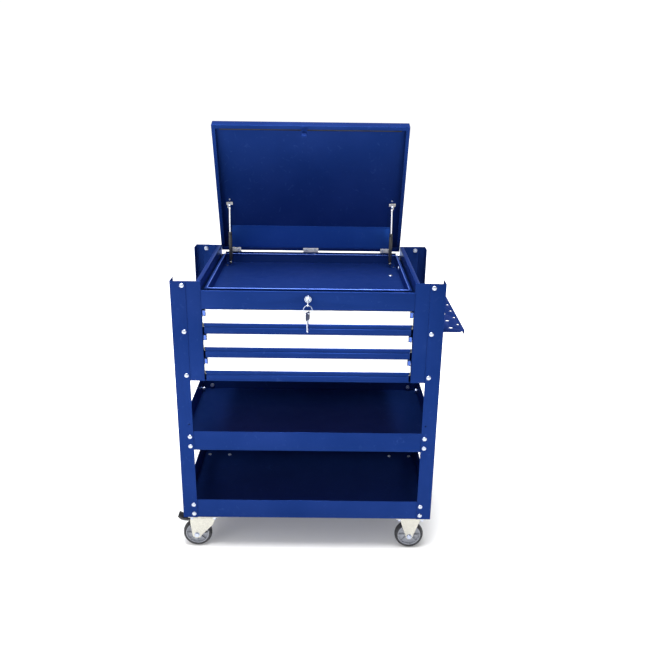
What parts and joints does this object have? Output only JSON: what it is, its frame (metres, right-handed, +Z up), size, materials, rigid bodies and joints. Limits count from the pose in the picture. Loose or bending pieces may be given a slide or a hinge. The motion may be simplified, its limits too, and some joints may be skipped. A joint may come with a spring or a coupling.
{
  "type": "rolling tool chest",
  "caption": "Rolling steel tool cart with a lockable lidded tray held open by gas struts, drawers, open tray shelves, a side tool rack and casters.",
  "frame": {"origin": "middle of the cart's footprint on the floor, counted over the whole object with its lid open and side rack", "axes": "+X to the right side that carries the tool rack, +Y to the back, +Z up; the drawers open towards -Y"},
  "size_m": [0.784, 0.4478, 1.1796],
  "materials": {
    "blue_paint": "semi-gloss powder coat with a fine orange peel",
    "aluminium_pull": "bright satin anodised",
    "zinc_plate": "zinc plated, slightly cloudy",
    "chrome": "polished",
    "black_steel": "satin black",
    "key_cover": "dark blue moulded cover on a steel blade",
    "tyre": "grey rubber tread on a grey hub"
  },
  "bodies": {
    "cart": {"front_left_leg": "blue_paint", "rear_left_leg": "blue_paint", "front_right_leg": "blue_paint", "rear_right_leg": "blue_paint", "side_panel_left": "blue_paint", "side_panel_right": "blue_paint", "back_panel": "blue_paint", "case_floor": "blue_paint", "lock_panel": "blue_paint", "top_tray": "blue_paint", "middle_shelf": "blue_paint", "bottom_shelf": "blue_paint", "tool_rack": "blue_paint", "lock_barrel": "chrome", "hinge_left_fixed_leaf": "zinc_plate", "hinge_middle_fixed_leaf": "zinc_plate", "hinge_right_fixed_leaf": "zinc_plate", "strut_foot_left": "zinc_plate", "strut_foot_right": "zinc_plate", "drawer_1_slide_left": "zinc_plate", "drawer_1_slide_right": "zinc_plate", "drawer_2_slide_left": "zinc_plate", "drawer_2_slide_right": "zinc_plate", "drawer_3_slide_left": "zinc_plate", "drawer_3_slide_right": "zinc_plate", "front_left_caster_plate": "zinc_plate", "front_right_caster_fork": "zinc_plate", "rear_left_caster_plate": "zinc_plate", "rear_right_caster_fork": "zinc_plate"},
    "lid": {"lid_pan": "blue_paint", "lid_stiffener": "blue_paint", "lid_catch": "blue_paint", "hinge_left_moving_leaf": "zinc_plate", "hinge_middle_moving_leaf": "zinc_plate", "hinge_right_moving_leaf": "zinc_plate", "strut_head_left": "zinc_plate", "strut_head_right": "zinc_plate"},
    "strut_left_cylinder": {"strut_cylinder_left": "black_steel"},
    "strut_left_rod": {"strut_rod_left": "chrome"},
    "strut_right_cylinder": {"strut_cylinder_right": "black_steel"},
    "strut_right_rod": {"strut_rod_right": "chrome"},
    "drawer_1": {"drawer_1_box": "blue_paint", "drawer_1_pull": "aluminium_pull"},
    "drawer_2": {"drawer_2_box": "blue_paint", "drawer_2_pull": "aluminium_pull"},
    "drawer_3": {"drawer_3_box": "blue_paint", "drawer_3_pull": "aluminium_pull"},
    "lock_turning": {"lock_plug": "chrome", "lock_cam": "zinc_plate", "key": "chrome"},
    "key_ring_set": {"key_ring": "chrome", "spare_key": "key_cover"},
    "front_left_swivel": {"front_left_caster_fork": "zinc_plate"},
    "front_left_pedal": {"front_left_brake_pedal": "black_steel"},
    "front_left_wheel": {"front_left_wheel": "tyre"},
    "front_right_wheel": {"front_right_wheel": "tyre"},
    "rear_left_swivel": {"rear_left_caster_fork": "zinc_plate"},
    "rear_left_pedal": {"rear_left_brake_pedal": "black_steel"},
    "rear_left_wheel": {"rear_left_wheel": "tyre"},
    "rear_right_wheel": {"rear_right_wheel": "tyre"}
  },
  "joints": [
    {"name": "lid_hinge", "type": "hinge", "parent": "cart", "child": "lid", "pos_m": [-0.02, 0.20464, 0.7925], "axis": [1, 0, 0], "range_deg": [0, 72], "stiffness_Nm_per_rad": 5, "springref_deg": -40.11},
    {"name": "strut_left_pivot", "type": "hinge", "parent": "cart", "child": "strut_left_cylinder", "pos_m": [-0.258, 0.16114, 0.7674], "axis": [1, 0, 0], "range_deg": [0, 76]},
    {"name": "strut_left_stroke", "type": "slide", "parent": "strut_left_cylinder", "child": "strut_left_rod", "axis": [0, 0.0168, 0.9999], "range_m": [-0.0605, 0]},
    {"name": "strut_right_pivot", "type": "hinge", "parent": "cart", "child": "strut_right_cylinder", "pos_m": [0.218, 0.16114, 0.7674], "axis": [1, 0, 0], "range_deg": [0, 76]},
    {"name": "strut_right_stroke", "type": "slide", "parent": "strut_right_cylinder", "child": "strut_right_rod", "axis": [0, 0.0168, 0.9999], "range_m": [-0.0605, 0]},
    {"name": "drawer_1_slide", "type": "slide", "parent": "cart", "child": "drawer_1", "axis": [0, -1, 0], "range_m": [0, 0.27]},
    {"name": "drawer_2_slide", "type": "slide", "parent": "cart", "child": "drawer_2", "axis": [0, -1, 0], "range_m": [0, 0.27]},
    {"name": "drawer_3_slide", "type": "slide", "parent": "cart", "child": "drawer_3", "axis": [0, -1, 0], "range_m": [0, 0.27]},
    {"name": "lock_turn", "type": "hinge", "parent": "cart", "child": "lock_turning", "pos_m": [-0.02, -0.19086, 0.7646], "axis": [0, 1, 0], "range_deg": [0, 90]},
    {"name": "key_ring_swing", "type": "hinge", "parent": "lock_turning", "child": "key_ring_set", "pos_m": [-0.02, -0.21486, 0.7566], "axis": [-1, 0, 0], "range_deg": [-8, 80]},
    {"name": "front_left_caster_swivel", "type": "hinge", "parent": "cart", "child": "front_left_swivel", "pos_m": [-0.316, -0.15786, 0.097], "axis": [0, 0, 1], "continuous": true},
    {"name": "front_left_wheel_spin", "type": "hinge", "parent": "front_left_swivel", "child": "front_left_wheel", "pos_m": [-0.338, -0.15786, 0.042], "axis": [0, 1, 0], "continuous": true},
    {"name": "front_left_brake", "type": "hinge", "parent": "front_left_swivel", "child": "front_left_pedal", "pos_m": [-0.348, -0.15786, 0.0897], "axis": [0, -1, 0], "range_deg": [0, 14]},
    {"name": "front_right_wheel_spin", "type": "hinge", "parent": "cart", "child": "front_right_wheel", "pos_m": [0.276, -0.15786, 0.042], "axis": [0, 1, 0], "continuous": true},
    {"name": "rear_left_caster_swivel", "type": "hinge", "parent": "cart", "child": "rear_left_swivel", "pos_m": [-0.316, 0.18614, 0.097], "axis": [0, 0, 1], "continuous": true},
    {"name": "rear_left_wheel_spin", "type": "hinge", "parent": "rear_left_swivel", "child": "rear_left_wheel", "pos_m": [-0.338, 0.18614, 0.042], "axis": [0, 1, 0], "continuous": true},
    {"name": "rear_left_brake", "type": "hinge", "parent": "rear_left_swivel", "child": "rear_left_pedal", "pos_m": [-0.348, 0.18614, 0.0897], "axis": [0, -1, 0], "range_deg": [0, 14]},
    {"name": "rear_right_wheel_spin", "type": "hinge", "parent": "cart", "child": "rear_right_wheel", "pos_m": [0.276, 0.18614, 0.042], "axis": [0, 1, 0], "continuous": true}
  ],
  "couplings": [
    {"joint": "strut_left_pivot", "follows": "lid_hinge", "ratio": 1.0373},
    {"joint": "strut_left_stroke", "follows": "lid_hinge", "m_per_rad": -0.0467},
    {"joint": "strut_right_pivot", "follows": "lid_hinge", "ratio": 1.0373},
    {"joint": "strut_right_stroke", "follows": "lid_hinge", "m_per_rad": -0.0467}
  ]
}
